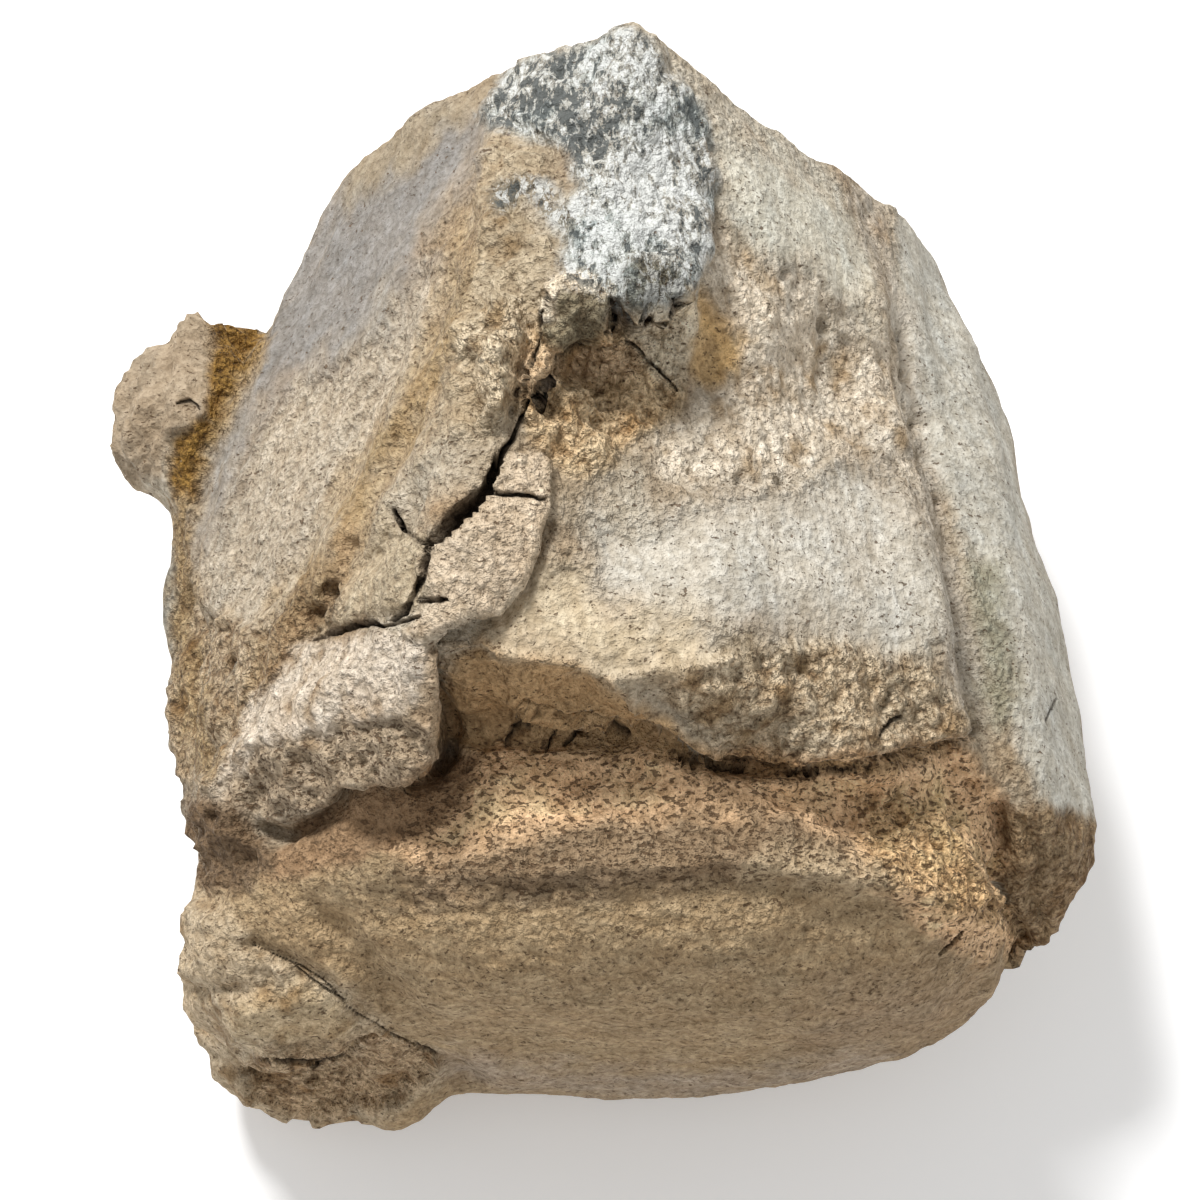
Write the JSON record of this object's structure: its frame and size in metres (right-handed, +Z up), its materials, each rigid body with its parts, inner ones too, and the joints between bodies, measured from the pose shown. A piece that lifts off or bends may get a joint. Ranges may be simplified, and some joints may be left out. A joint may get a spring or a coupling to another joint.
{
  "type": "fossil vertebra",
  "caption": "Weathered fossil whale vertebra with domed end plates, a broken arch foot and side-process stubs, lying on its underside.",
  "frame": {"origin": "the bottom centre of the bone's bounding box, on the plane that it rests on", "axes": "+Z up from the underside to the broken arch, +X across the bone towards the side without a process stub, +Y along the barrel from the near end plate to the far one"},
  "size_m": [0.2228, 0.2088, 0.1696],
  "materials": {
    "fossil_bone": "matte, weathered"
  },
  "bodies": {
    "root": {"vertebra": "fossil_bone"}
  },
  "joints": []
}
